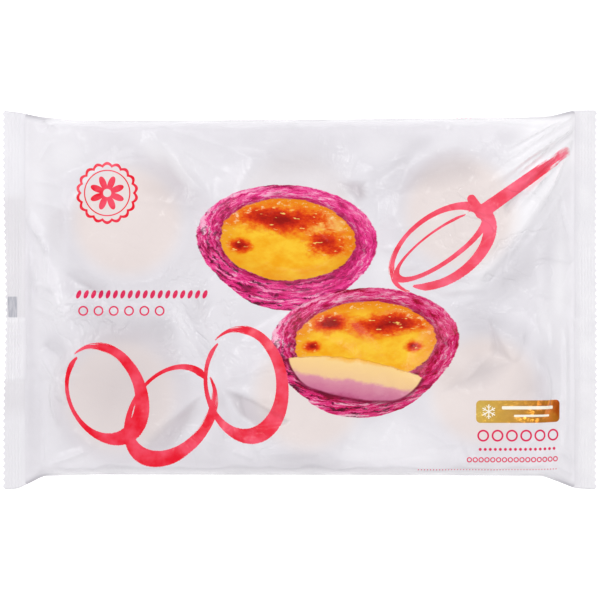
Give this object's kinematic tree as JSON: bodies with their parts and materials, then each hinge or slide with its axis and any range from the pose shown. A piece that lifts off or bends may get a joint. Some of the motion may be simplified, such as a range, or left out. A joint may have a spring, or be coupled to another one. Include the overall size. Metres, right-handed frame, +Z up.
{
  "type": "sealed film pack of egg tarts",
  "caption": "Sealed flow-wrap pack lying flat: milky printed film drawn over a tray of frozen egg tarts and crimped into a serrated flat seal at each end.",
  "frame": {"origin": "on the ground, under the middle of the pack's length and width", "axes": "+X along the pack from the left end seal to the right one, seen with the print the right way up; +Y towards the top of the print; +Z up, out of the printed side"},
  "size_m": [0.3, 0.191, 0.028],
  "materials": {
    "film": "milky translucent glossy film with red, purple, yellow and gold print",
    "tray": "thin white formed tray",
    "crust": "flaky purple pastry",
    "custard": "pale frozen custard"
  },
  "bodies": {
    "root": {"pack": "film"}
  },
  "joints": []
}
